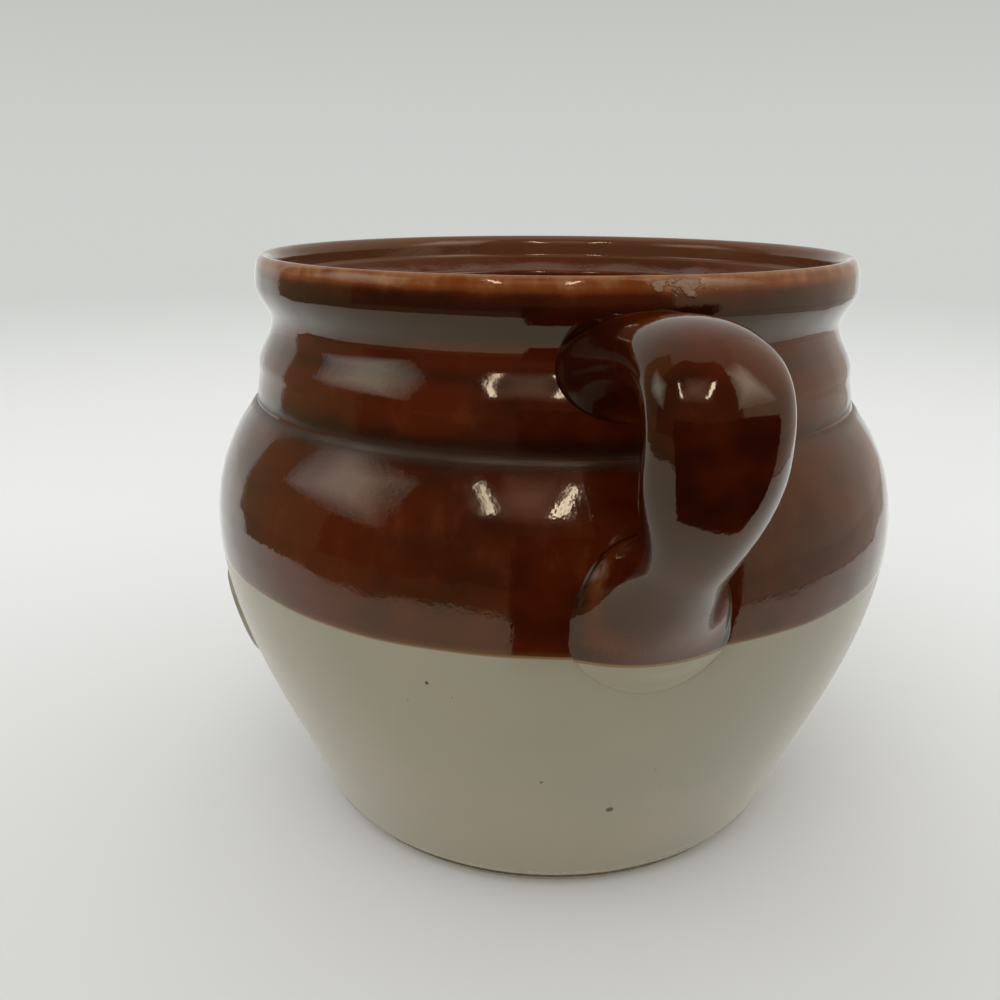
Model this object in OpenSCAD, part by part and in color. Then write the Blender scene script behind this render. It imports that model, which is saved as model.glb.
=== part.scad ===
// Stoneware bean pot, two glazes, one ear handle. Millimetres, +Z up.
// Origin: middle of the foot, on the surface that the pot stands on.
// The handle reaches out along +X.

/* [Pot outline] */
// Height from the table to the crest of the rim
pot_h = 157; // [154:0.5:175]
// Diameter of the flat foot that touches the table
foot_d = 126; // [110:1:134]
// Width of the bevel between foot and wall
bevel_w = 5.8; // [4:0.2:8]
// Height of the bevel
bevel_h = 5.6; // [4:0.2:8]
// Lean of the wall from upright, just above the bevel, in degrees
foot_lean = 20; // [12:1:26]
// Largest outside diameter, at the belly
belly_d = 189.4; // [180:0.2:205]
// Height of the belly
belly_z = 86; // [80:1:92]
// Outside diameter at the crease above the shoulder
crease_d = 164.2; // [158:0.2:170]
// Height of the crease
crease_z = 119.5; // [114:0.5:123]
// Lean of the shoulder from upright where it meets the crease, in degrees
shoulder_lean = 42; // [30:1:50]
// Outside diameter of the plain ring above the crease
ring_d = 162.2; // [158:0.2:170]
// Height of the ring's middle
ring_z = 128.5; // [126:0.5:131]
// Outside diameter in the pinched groove under the rim
groove_d = 154.2; // [152:0.2:158]
// Height of the groove
groove_z = 140; // [137:0.5:143]
// How far the rolled rim stands out past the groove
rim_out = 3.7; // [2:0.1:5.5]
// Height at which the rolled rim is widest
rim_z = 149.5; // [147:0.5:151]

/* [Walls and inside] */
// Wall thickness at the belly, glaze included
wall_t = 7; // [5:0.25:8.5]
// Thickness of the floor, glaze included
floor_t = 9; // [6:0.5:13]
// Radius inside, between wall and floor
floor_round = 11; // [6:0.5:16]
// Glaze thickness
glaze_t = 0.5; // [0.3:0.05:0.8]
// Height of the line where the dark glaze ends
glaze_z = 79.5; // [76:0.5:84]
// Height above the table where the pale glaze ends
bare_z = 2.6; // [1.5:0.1:3.5]

/* [Lid seat] */
// Thickness of the rolled rim, out from the collar that a loose lid drops into
rim_t = 5.5; // [4.5:0.1:7]
// Radius of the rim's inner edge, between crest and collar
crest_round = 3.2; // [2:0.1:3.6]
// Depth of the seat's outer edge below the crest
seat_depth = 7.2; // [6:0.1:8.5]
// Width of the sloping seat
seat_w = 8; // [6:0.25:9]
// Fall of the seat towards the axis
seat_fall = 3.4; // [2:0.1:4]
// Radius between collar and seat, and on the seat's lip
seat_round = 1.4; // [1:0.1:1.8]

/* [Handle] */
// Height where the middle of the upper root enters the wall
root_z = 137.2; // [134:0.2:139]
// Height where the middle of the lower end enters the wall
pad_z = 89.2; // [86:0.2:92]
// How far the middle of the bow stands out past the belly
bow_reach = 22; // [18:0.2:30]
// Height of the bow's furthest point
bow_z = 132.4; // [127:0.2:134]
// Rise of the handle where it leaves the wall, in degrees
root_rise = 17; // [8:1:24]
// Slope of the lower end where it runs into the wall, in degrees
pad_drop = 37; // [30:1:45]
// Width of the grip
grip_w = 27.8; // [24:0.2:32]
// Thickness of the grip
grip_t = 18; // [15:0.2:21]
// Width of the neck, just above the lower end
neck_w = 20.2; // [16:0.2:24]
// Thickness of the neck
neck_t = 17; // [14:0.2:20]
// Width of the upper root on the wall
root_w = 37; // [32:0.5:44]
// Thickness of the upper root, square to the handle
root_t = 24; // [21:0.5:27]
// Width of the lower end pressed on the wall
pad_w = 39.4; // [32:0.2:42]
// Thickness of the lower end, square to the handle
pad_t = 29.6; // [24:0.2:32]

/* [Medallion] */
// Diameter of the blank raised medallion
medal_d = 26; // [18:0.5:32]
// Distance from its top to the glaze line
medal_gap = 9; // [3:0.25:11]
// How far its rim stands proud of the glaze
medal_rim = 0.9; // [0.7:0.1:2]
// How far its plain field stands proud
medal_field = 0.5; // [0.3:0.1:0.6]
// Width of its rim
medal_rim_w = 2; // [1.5:0.1:4]

/* [Hidden] */

clay_color = "tan";
dark_color = "saddlebrown";
pale_color = "wheat";

round_steps = 6;    // edges in each quarter round
wall_steps = 12;    // edges in each long curve
bar_sides = 24;     // sides of the handle
bow_steps = 16;     // rings in each half of the handle
root_depth = 2.4;   // how far under the wall's face the handle's curve starts
pad_depth = 6.7;    // and ends
bury = 12;          // how much further the handle's solid runs into the wall
grip_from = 0.2;    // stations along the handle, 0 at the root, 1 at the pad
grip_to = 0.56;
neck_at = 0.82;
pad_from = 0.78;
root_pull = 29.8;   // reach of the curve's control points, which make the bow round
crown_pull = 13;
bow_pull = 14.6;
pad_pull = 21;

// A cubic from one point to the next with given slopes, as [radius, height]
function slope_curve(z0, r0, s0, z1, r1, s1, n) = [
    for (i = [1:n])
        let (t = i/n, h = z1 - z0)
        [(2*t^3 - 3*t^2 + 1)*r0 + (t^3 - 2*t^2 + t)*h*s0
         + (3*t^2 - 2*t^3)*r1 + (t^3 - t^2)*h*s1,
         z0 + t*h]];

// Part of an ellipse about a centre, from angle a to angle b
function round_off(cr, cz, rr, rz, a, b) = [
    for (i = [1:round_steps])
        let (w = a + (b - a)*i/round_steps)
        [cr + rr*cos(w), cz + rz*sin(w)]];

// Radius of an outline at height z
function r_at(outline, z) = lookup(z, [for (p = outline) [p.y, p.x]]);
// The part of an outline between two heights, cut square at both
function between(outline, z0, z1) = concat(
    [[r_at(outline, z0), z0]],
    [for (p = outline) if (p.y > z0 && p.y < z1) p],
    [[r_at(outline, z1), z1]]);
function backwards(list) = [for (i = [len(list) - 1:-1:0]) list[i]];

foot_out = foot_d/2 + bevel_w;
rim_d = groove_d + 2*rim_out;
collar_d = rim_d - 2*rim_t;
crest_d = collar_d + 2*crest_round;
outside = concat(
    [[foot_d/2, 0], [foot_out, bevel_h]],
    slope_curve(bevel_h, foot_out, tan(foot_lean), belly_z, belly_d/2, 0, wall_steps),
    slope_curve(belly_z, belly_d/2, 0, crease_z, crease_d/2, -tan(shoulder_lean), wall_steps),
    slope_curve(crease_z, crease_d/2, 0, ring_z, ring_d/2, 0, round_steps),
    slope_curve(ring_z, ring_d/2, 0, groove_z, groove_d/2, 0, round_steps),
    slope_curve(groove_z, groove_d/2, 0, rim_z, rim_d/2, 0, round_steps),
    round_off(crest_d/2, rim_z, (rim_d - crest_d)/2, pot_h - rim_z, 0, 90));

seat_z = pot_h - seat_depth;
lip_r = collar_d/2 - seat_w;
lip_z = seat_z - seat_fall;
corner_z = floor_t + floor_round;
corner_r = foot_out + tan(foot_lean)*(corner_z - bevel_h) - wall_t;
inside = concat(
    round_off(crest_d/2, pot_h - crest_round, crest_round, crest_round, 90, 180),
    [[collar_d/2, seat_z + seat_round]],
    round_off(collar_d/2 - seat_round, seat_z + seat_round, seat_round, seat_round, 0, -90),
    [[lip_r + seat_round, lip_z]],
    round_off(lip_r + seat_round, lip_z - seat_round, seat_round, seat_round, 90, 180),
    slope_curve(lip_z - seat_round, lip_r, 0, belly_z, belly_d/2 - wall_t, 0, wall_steps),
    slope_curve(belly_z, belly_d/2 - wall_t, 0,
                corner_z, corner_r, tan(foot_lean), wall_steps),
    round_off(corner_r - floor_round, corner_z, floor_round, floor_round, 0, -90),
    [[0, floor_t]]);

// The whole glazed face in one line, and the clay's face under the glaze
face = concat(outside, inside);
last = len(face) - 1;
function into_wall(i) =
    let (d = face[min(i + 1, last)] - face[max(i - 1, 0)])
    i == last ? [0, -1] : [-d.y, d.x]/norm(d);
clay = [for (i = [0:last]) face[i] + glaze_t*into_wall(i)];
clay_outside = [for (i = [0:len(outside) - 1]) clay[i]];
clay_inside = [for (i = [len(outside):last]) clay[i]];
clay_top = clay_outside[len(clay_outside) - 1].y;

// Thrown wall, floor, rolled rim and lid seat: one piece of fired clay
module stoneware_body() {
    color(clay_color)
        rotate_extrude()
            polygon(concat(
                [[0, 0]],
                between(outside, 0, bare_z),
                between(clay_outside, bare_z, clay_top),
                clay_inside));
}

// Dark glaze: shoulder, rim and the whole inside
module dark_glaze() {
    color(dark_color)
        difference() {
            rotate_extrude()
                polygon(concat(
                    between(outside, glaze_z, pot_h),
                    inside,
                    backwards(clay_inside),
                    backwards(between(clay_outside, glaze_z, clay_top))));
            outer_bar();
        }
}

// Pale glaze: the outside below the line
module pale_glaze() {
    color(pale_color)
        difference() {
            rotate_extrude()
                polygon(concat(
                    between(outside, bare_z, glaze_z),
                    backwards(between(clay_outside, bare_z, glaze_z))));
            outer_bar();
            front_disc(proud(-wall_t/2), proud(2*medal_rim), medal_d);
        }
}

// The pale wall's outline round the medallion, moved out by an amount
medal_z = glaze_z - medal_gap - medal_d/2;
medal_low = medal_z - medal_d;
medal_high = medal_z + medal_d;
function proud(amount) =
    [for (p = between(outside, medal_low, medal_high)) [p.x + amount, p.y]];

// A shell of the wall between two such outlines, inside a bar through its front
module front_disc(inner, outer, d) {
    intersection() {
        rotate_extrude()
            polygon(concat(inner, backwards(outer)));
        translate([0, 0, medal_z])
            rotate([90, 0, 0])
                cylinder(d = d, h = belly_d, $fn = 96);
    }
}

// Plain round medallion with a raised rim, a quarter turn from the handle
module blank_medallion() {
    color(pale_color)
        difference() {
            front_disc(between(clay_outside, medal_low, medal_high), proud(medal_rim), medal_d);
            front_disc(proud(medal_field), proud(2*medal_rim), medal_d - 2*medal_rim_w);
        }
}

// The handle's middle line, in the plane of +X and +Z
function curve(a, b, c, d, t) =
    (1 - t)^3*a + 3*(1 - t)^2*t*b + 3*(1 - t)*t^2*c + t^3*d;
root_at = [r_at(outside, root_z) - root_depth, root_z];
pad_end = [r_at(outside, pad_z) - pad_depth, pad_z];
bow_at = [belly_d/2 + bow_reach, bow_z];
root_way = [cos(root_rise), sin(root_rise)];
pad_way = [cos(pad_drop), sin(pad_drop)];
bar_line = concat(
    [root_at - bury*root_way],
    [for (i = [0:bow_steps - 1])
        curve(root_at, root_at + root_pull*root_way, bow_at + [0, crown_pull], bow_at,
              i/bow_steps)],
    [for (i = [0:bow_steps])
        curve(bow_at, bow_at - [0, bow_pull], pad_end + pad_pull*pad_way, pad_end,
              i/bow_steps)],
    [pad_end - bury*pad_way]);
bar_end = len(bar_line) - 1;

// A smooth step from 0 at a to 1 at b, and a widening from nothing at k0 to 1 at 0
function ease(k, a, b) = (1 - cos(180*min(1, max(0, (k - a)/(b - a)))))/2;
function flare(k, k0) = min(1, max(0, 1 - k/k0))^2;
// Half the handle's width or thickness at station k
function half_size(k, root, grip, neck, pad) = (
    grip + (root - grip)*flare(k, grip_from)
    + (neck - grip)*ease(k, grip_to, neck_at)
    + (pad - neck)*flare(1 - k, 1 - pad_from))/2;

// One oval ring of the handle, square to its middle line
function bar_ring(i) =
    let (k = (i - 1)/(bar_end - 2),
         d = bar_line[min(i + 1, bar_end)] - bar_line[max(i - 1, 0)],
         out = [d.y, -d.x]/norm(d),
         w = half_size(k, root_w, grip_w, neck_w, pad_w),
         t = half_size(k, root_t, grip_t, neck_t, pad_t))
    [for (j = [0:bar_sides - 1])
        let (a = 360*j/bar_sides, p = bar_line[i] + t*cos(a)*out)
        [p.x, w*sin(a), p.y]];

// The handle's whole bar, run on into the wall at both ends
module handle_bar() {
    polyhedron(
        points = [for (i = [0:bar_end]) each bar_ring(i)],
        faces = concat(
            [[for (j = [0:bar_sides - 1]) j]],
            [for (i = [0:bar_end - 1], j = [0:bar_sides - 1])
                let (a = i*bar_sides + j, b = i*bar_sides + (j + 1) % bar_sides)
                each [[a, a + bar_sides, b], [b, a + bar_sides, b + bar_sides]]],
            [[for (j = [bar_sides - 1:-1:0]) bar_end*bar_sides + j]]),
        convexity = 4);
}

// The bar without what lies deeper in the wall than a line, or inside the pot
module bar_past(line) {
    difference() {
        handle_bar();
        rotate_extrude()
            polygon(concat([[0, bare_z]], line, [[0, clay_top]]));
    }
}
// The bar down to the middle of the wall: it cuts the coats outside, not the glaze inside
module outer_bar() {
    bar_past([for (p = between(outside, bare_z, clay_top)) [p.x - wall_t/2, p.y]]);
}

// Ear handle, seated on the clay of the wall at both ends
module handle() {
    color(dark_color)
        bar_past(between(clay_outside, bare_z, clay_top));
}

stoneware_body();
dark_glaze();
pale_glaze();
handle();
blank_medallion();
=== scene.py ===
"""Stoneware bean pot: an open, squat pot with a dark glaze over a pale one and one ear handle.

Metres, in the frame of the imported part: origin in the middle of the foot, +Z up, handle on +X.
The surfaces repeat the part's own outline formulas and add what a potter's hands leave on them.
"""

import math

import bmesh
import bpy
import numpy as np
from mathutils import Matrix, Vector


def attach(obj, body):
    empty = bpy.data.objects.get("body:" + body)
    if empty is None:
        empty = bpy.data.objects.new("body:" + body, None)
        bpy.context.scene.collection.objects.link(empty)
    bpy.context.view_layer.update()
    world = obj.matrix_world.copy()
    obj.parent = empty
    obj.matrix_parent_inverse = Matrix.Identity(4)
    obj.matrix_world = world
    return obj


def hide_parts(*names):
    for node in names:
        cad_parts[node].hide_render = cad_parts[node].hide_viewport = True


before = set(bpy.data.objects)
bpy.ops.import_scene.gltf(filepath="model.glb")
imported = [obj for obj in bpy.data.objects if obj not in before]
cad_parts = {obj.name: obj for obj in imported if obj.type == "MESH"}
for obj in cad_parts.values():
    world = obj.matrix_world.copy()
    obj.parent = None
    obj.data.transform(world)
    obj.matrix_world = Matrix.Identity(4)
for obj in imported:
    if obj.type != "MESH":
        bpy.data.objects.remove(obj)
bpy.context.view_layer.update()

MM = 0.001

# Pot outline, in millimetres
POT_H = 157.0
FOOT_D, BEVEL_W, BEVEL_H, FOOT_LEAN = 126.0, 5.8, 5.6, 20.0
BELLY_D, BELLY_Z = 189.4, 86.0
CREASE_D, CREASE_Z, SHOULDER_LEAN = 164.2, 119.5, 42.0
RING_D, RING_Z = 162.2, 128.5
GROOVE_D, GROOVE_Z = 154.2, 140.0
RIM_OUT, RIM_Z = 3.7, 149.5
RIM_T, CREST_ROUND = 5.5, 3.2
WALL_T, FLOOR_T, FLOOR_ROUND = 7.0, 9.0, 11.0
GLAZE_Z, BARE_Z = 79.5, 2.6
SEAT_DEPTH, SEAT_W, SEAT_FALL, SEAT_ROUND = 7.2, 8.0, 3.4, 1.4
SEAT_TURN, LIP_TURN = -67, 112        # degrees at which the rounds of the seat meet its slope
FLOOR_MID = 1.0                       # radius of the floor's innermost ring

# Handle, in millimetres and degrees
ROOT_Z, PAD_Z = 137.2, 89.2
BOW_REACH, BOW_Z, BOW_SIDE, PAD_SIDE = 22.0, 132.4, 0.3, -1.0
ROOT_RISE, PAD_DROP = 17.0, 37.0
GRIP_W, GRIP_T = 27.8, 18.0
NECK_W, NECK_T = 20.2, 17.0
ROOT_W, ROOT_T = 37.0, 24.0
PAD_W, PAD_T = 39.4, 29.6
ROOT_DEPTH, PAD_DEPTH = 2.4, 6.7
GRIP_FROM, GRIP_TO, NECK_AT, PAD_FROM = 0.2, 0.56, 0.82, 0.78
ROOT_PULL, CROWN_PULL, BOW_PULL, PAD_PULL = 29.8, 13.0, 14.6, 21.0

# Medallion, in millimetres
MEDAL_D, MEDAL_GAP, MEDAL_RIM, MEDAL_FIELD, MEDAL_RIM_W = 26.0, 9.0, 0.9, 0.5, 2.0

# The photograph's camera: distance from the pot's axis and height over its foot in millimetres, and
# in degrees how far it stands off the handle and how it is turned, tilted down and rolled
CAMERA_REACH, CAMERA_Z, CAMERA_OFF = 284.1, 175.0, 14.5
CAMERA_TURN, CAMERA_DOWN, CAMERA_ROLL = 2.917, 17.667, 0.195
LENS, SENSOR, CLIP_START = 36, 36, 0.01

# Columns and rows of the meshes
AROUND = 320          # round the pot
HANDLE_AROUND, HANDLE_ALONG = 96, 150
MEDAL_AROUND = 96


# ---------------------------------------------------------------- camera

def set_camera():
    """The photograph's viewpoint: beside the handle, a little over the rim, looking down at the foot."""
    off_handle = math.radians(CAMERA_OFF)
    turn, down, roll = (math.radians(angle) for angle in (CAMERA_TURN, CAMERA_DOWN, CAMERA_ROLL))
    to_axis = Vector((-math.cos(off_handle), math.sin(off_handle), 0))
    to_right = Vector((math.sin(off_handle), math.cos(off_handle), 0))
    level = math.cos(turn) * to_axis - math.sin(turn) * to_right
    right = math.cos(turn) * to_right + math.sin(turn) * to_axis
    ahead = math.cos(down) * level - math.sin(down) * Vector((0, 0, 1))
    up = right.cross(ahead)
    rolled_right = math.cos(roll) * right + math.sin(roll) * up
    rolled_up = math.cos(roll) * up - math.sin(roll) * right
    camera = bpy.data.objects.new("camera", bpy.data.cameras.new("camera"))
    camera.data.lens, camera.data.sensor_width, camera.data.clip_start = LENS, SENSOR, CLIP_START
    place = -CAMERA_REACH*MM*to_axis + Vector((0, 0, CAMERA_Z*MM))
    camera.matrix_world = Matrix((
        (rolled_right.x, rolled_up.x, -ahead.x, place.x),
        (rolled_right.y, rolled_up.y, -ahead.y, place.y),
        (rolled_right.z, rolled_up.z, -ahead.z, place.z),
        (0, 0, 0, 1)))
    bpy.context.scene.collection.objects.link(camera)
    bpy.context.scene.camera = camera


# ---------------------------------------------------------------- outline

def slope_curve(z0, r0, s0, z1, r1, s1, n):
    """Cubic in z from (r0, z0) to (r1, z1) with slopes s0 and s1, n points, the first left out."""
    t = np.arange(1, n + 1) / n
    h = z1 - z0
    r = ((2*t**3 - 3*t**2 + 1)*r0 + (t**3 - 2*t**2 + t)*h*s0
         + (3*t**2 - 2*t**3)*r1 + (t**3 - t**2)*h*s1)
    return np.stack([r, z0 + t*h], 1)


def round_off(cr, cz, rr, rz, a, b, n):
    """Part of an ellipse about (cr, cz) from angle a to angle b in degrees, the first point left out."""
    w = np.radians(a + (b - a) * np.arange(1, n + 1) / n)
    return np.stack([cr + rr*np.cos(w), cz + rz*np.sin(w)], 1)


RIM_D = GROOVE_D + 2*RIM_OUT
COLLAR_D = RIM_D - 2*RIM_T
CREST_D = COLLAR_D + 2*CREST_ROUND
FOOT_OUT = FOOT_D/2 + BEVEL_W
SEAT_Z = POT_H - SEAT_DEPTH
LIP_R, LIP_Z = COLLAR_D/2 - SEAT_W, SEAT_Z - SEAT_FALL


def outside_line():
    """The outside in one line from the foot's edge to the crest, in millimetres."""
    lean = math.tan(math.radians(FOOT_LEAN))
    shoulder = -math.tan(math.radians(SHOULDER_LEAN))
    return np.concatenate([
        [[FOOT_D/2, 0.0], [FOOT_OUT, BEVEL_H]],
        slope_curve(BEVEL_H, FOOT_OUT, lean, BELLY_Z, BELLY_D/2, 0, n=40),
        slope_curve(BELLY_Z, BELLY_D/2, 0, CREASE_Z, CREASE_D/2, shoulder, n=26),
        slope_curve(CREASE_Z, CREASE_D/2, 0, RING_Z, RING_D/2, 0, n=10),
        slope_curve(RING_Z, RING_D/2, 0, GROOVE_Z, GROOVE_D/2, 0, n=14),
        slope_curve(GROOVE_Z, GROOVE_D/2, 0, RIM_Z, RIM_D/2, 0, n=12),
        round_off(CREST_D/2, RIM_Z, (RIM_D - CREST_D)/2, POT_H - RIM_Z, 0, 90, n=12)])


def inside_line():
    """The inside from the crest over collar and lid seat down to the floor, short of its middle."""
    lean = math.tan(math.radians(FOOT_LEAN))
    corner_z = FLOOR_T + FLOOR_ROUND
    corner_r = FOOT_OUT + lean*(corner_z - BEVEL_H) - WALL_T
    floor = np.linspace(corner_r - FLOOR_ROUND, FLOOR_MID, 12)[1:]
    return np.concatenate([
        round_off(CREST_D/2, POT_H - CREST_ROUND, CREST_ROUND, CREST_ROUND, 90, 180, n=8),
        [[COLLAR_D/2, SEAT_Z + SEAT_ROUND]],
        round_off(COLLAR_D/2 - SEAT_ROUND, SEAT_Z + SEAT_ROUND, SEAT_ROUND, SEAT_ROUND,
                  0, SEAT_TURN, n=5),
        [[LIP_R + SEAT_ROUND, LIP_Z]],
        round_off(LIP_R + SEAT_ROUND, LIP_Z - SEAT_ROUND, SEAT_ROUND, SEAT_ROUND,
                  LIP_TURN, 180, n=6),
        slope_curve(LIP_Z - SEAT_ROUND, LIP_R, 0, BELLY_Z, BELLY_D/2 - WALL_T, 0, n=24),
        slope_curve(BELLY_Z, BELLY_D/2 - WALL_T, 0, corner_z, corner_r, lean, n=24),
        round_off(corner_r - FLOOR_ROUND, corner_z, FLOOR_ROUND, FLOOR_ROUND, 0, -90, n=8),
        np.stack([floor, np.full_like(floor, FLOOR_T)], 1)])


OUTSIDE = outside_line()
INSIDE = inside_line()


def wall_radius(z):
    """Outside radius of the pot at height z, in millimetres."""
    return np.interp(z, OUTSIDE[:, 1], OUTSIDE[:, 0])


def set_in(line, depth):
    """A line moved square to itself into the wall by a depth; the wall lies on the left of its way."""
    way = np.gradient(line, axis=0)
    side = np.stack([-way[:, 1], way[:, 0]], 1)
    return line + depth*side/np.linalg.norm(side, axis=1, keepdims=True)


# ---------------------------------------------------------------- meshes

def piece_from_grid(name, grid, poles=None):
    """A closed mesh from points (row, column, xyz) in millimetres; each row is a ring.

    With two poles, fans close the first and the last ring; without, the last ring joins the first.
    """
    rows, cols = grid.shape[:2]
    points = grid.reshape(-1, 3)
    row = np.arange(rows - 1 if poles else rows)[:, None]
    col = np.arange(cols)[None, :]
    here, on = row*cols, (row + 1) % rows*cols
    side = (col + 1) % cols
    faces = np.stack([here + col, here + side, on + side, on + col], -1).reshape(-1, 4).tolist()
    if poles:
        points = np.concatenate([points, poles])
        ring = np.arange(cols)
        step = (ring + 1) % cols
        last = (rows - 1)*cols
        faces += np.stack([np.full(cols, rows*cols), step, ring], 1).tolist()
        faces += np.stack([np.full(cols, rows*cols + 1), last + ring, last + step], 1).tolist()
    mesh = bpy.data.meshes.new(name)
    mesh.from_pydata((points*MM).tolist(), [], faces)
    face_outwards(mesh)
    mesh.shade_smooth()
    piece = bpy.data.objects.new(name, mesh)
    bpy.context.scene.collection.objects.link(piece)
    return piece


def face_outwards(mesh):
    """Turns every face of a closed mesh outwards."""
    shell = bmesh.new()
    shell.from_mesh(mesh)
    bmesh.ops.recalc_face_normals(shell, faces=shell.faces)
    shell.to_mesh(mesh)
    shell.free()


def store(piece, name, values):
    """Stores one number for each vertex, for the material to read."""
    attribute = piece.data.attributes.new(name, "FLOAT", "POINT")
    attribute.data.foreach_set("value", np.asarray(values, np.float32).ravel())


def about_axis(r, angle, z):
    """Points (r cos angle, r sin angle, z)."""
    r, angle, z = np.broadcast_arrays(r, angle, z)
    return np.stack([r*np.cos(angle), r*np.sin(angle), z], -1)


ANGLES = np.linspace(0, 2*np.pi, AROUND, endpoint=False)[None, :]


# ---------------------------------------------------------------- curves

def hump(x, middle, reach):
    """A bell that is 1 at its middle and has all but gone at twice its reach."""
    return np.exp(-((x - middle)/reach)**2)


def humps(x, *parts):
    """Sum of bells, each given as (strength, middle, reach)."""
    return sum(strength*hump(x, middle, reach) for strength, middle, reach in parts)


def ease(k, a, b):
    """Half a cosine from 0 at a to 1 at b."""
    return (1 - np.cos(np.pi*np.clip((k - a)/(b - a), 0, 1)))/2


def flare(k, k0):
    """A widening that is 1 at 0 and dies away smoothly at k0."""
    return np.clip(1 - k/k0, 0, 1)**2


USUAL_PEAK = 1.2      # of a sum of waves, for each root of their number


def waves(angle, z, seed, count, turns, lengths):
    """Sum of count sines in angle and height with seeded phases, clipped between -1 and 1."""
    rng = np.random.default_rng(seed)
    total = 0.0
    for _ in range(count):
        k = rng.integers(turns[0], turns[1] + 1)
        length = rng.uniform(*lengths)
        phase = rng.uniform(0, 2*np.pi, 2)
        total = total + np.sin(k*angle + phase[0])*np.sin(2*np.pi*z/length + phase[1])
    return np.clip(total/math.sqrt(count)/USUAL_PEAK, -1, 1)


# ---------------------------------------------------------------- what hands left on the clay

# Lumps, in millimetres: half their depth, and (seed, number of waves, waves round, lengths)
WALL_LUMP, WALL_WAVES = 0.15, (3, 10, (2, 7), (45, 120))
INNER_LUMP, INNER_WAVES = 0.12, (8, 8, (1, 5), (40, 120))
HAND_LUMP, HAND_WAVES = 0.2, (21, 8, (1, 2), (9, 30))

RING_DEEP, RING_SPACING = 0.016, 5.2  # half the depth of the turning rings, and their spacing
RING_SWAY, RING_TURN = 1.4, 0.6       # radians by which the rings sway round the pot

# Wander of the dark glaze's edge: waves as (number round the pot, height in millimetres, phase)
EDGE_RISE = 0.15
EDGE_WAVES = ((1, -0.25, 0.25 + math.pi/2), (2, -0.45, 0.5 + math.pi/2), (5, 0.12, 2.2), (11, 0.1, 0),
              (23, 0.05, 1))


def thrown_face(angle, z):
    """How far the thrown wall lies inside its true outline: soft lumps and faint turning rings."""
    lumps = WALL_LUMP*(1 + waves(angle, z, *WALL_WAVES))
    rings = RING_DEEP*(1 + np.sin(2*np.pi*z/RING_SPACING + RING_SWAY*np.sin(angle + RING_TURN)))
    return -(lumps + rings)


def glaze_edge(angle):
    """Height of the dark glaze's edge round the pot: dipped by hand, so it wanders a little."""
    wander = sum(height*np.sin(number*angle + phase) for number, height, phase in EDGE_WAVES)
    return GLAZE_Z + EDGE_RISE + wander


# ---------------------------------------------------------------- glaze coats

COAT_IN = 0.8         # depth of a coat's hidden back under the face
STEP = 0.3            # how far the dark glaze stands proud of the pale one
LAP = 2.0             # how far the pale glaze runs up under the dark one
EDGE_ROWS = (0.0, 0.15, 0.35, 0.7, 1.2)   # heights of the dark coat's first rows over its edge
WALL_ROWS = 1.6       # height over the edge from which the rows are the outline's own
EDGE_DROP, EDGE_ROUND = STEP + 0.05, 0.45 # the edge rounds down into the pale glaze: depth and height
EDGE_FADE = 20        # height over which the edge's wander dies away up the wall
CREST_STILL, CREST_FADE = 1, 8            # how far under the crest the lumps end, and over what height
INNER_STILL, INNER_FADE = 3, 8            # the same inside, under the lid seat's lip
BACK_STEP, BACK_RISE = 4, 0.6             # the back takes each fourth row; its end lies over the edge
PALE_ROWS, PALE_CROWD = 46, 0.9           # rows of the pale coat's face, a little closer at its top
PALE_BACK_ROWS, PALE_BACK_IN = 14, 0.3    # rows of its back, which ends inside its edges
PALE_LUMPS = 0.5      # share of the wall's lumps that the pale glaze shows
FOOT_ROLL, FOOT_ROLL_REACH = 0.45, 0.7    # the pale glaze thins to its lower edge
FOOT_SOFT, FOOT_SOFT_REACH = 0.12, 1.6    # and softens the corner over the bevel

# Where the dark glaze ran thin, and where it is darker, by height: (strength, middle, reach)
# The two humps at the crest are thin glaze and also a painted highlight: the crest's sheen painted as
# lighter tan
THIN_AND_SHEEN_OUTSIDE = ((0.9, 154.9, 1.4), (1.0, 156.9, 1.0), (0.14, RING_Z, 3), (0.16, 102, 9))
THIN_INSIDE = ((0.5, LIP_Z - 1, 1.6), (0.35, SEAT_Z + 6, 5))
# Painted shade, with pooled glaze: darker in the crease, in and round the groove and on the rim's lower
# half
POOLED_AND_SHADE_OUTSIDE = ((0.8, CREASE_Z + 1, 3), (1.0, 145, 2.2), (0.6, 135.5, 2), (0.7, 149.5, 2.5))
CREASE = (1.0, CREASE_Z, 1.8)             # the crease gathers dust and mirrors less
OLIVE = (1.0, 0.1, 0.8)                   # olive line, by height over the glaze's edge
INNER_SHARE = 0.85    # share of the lighter, greyer DARK_INNER colour on the inner wall over the seat

# A rough place on the rim where the glaze stuck in the kiln
SCAR_AT, SCAR_LONG = 4.5, 14.0            # degrees from +X, millimetres
SCAR_Z, SCAR_HIGH = RIM_Z + 5, 1.8


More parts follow.
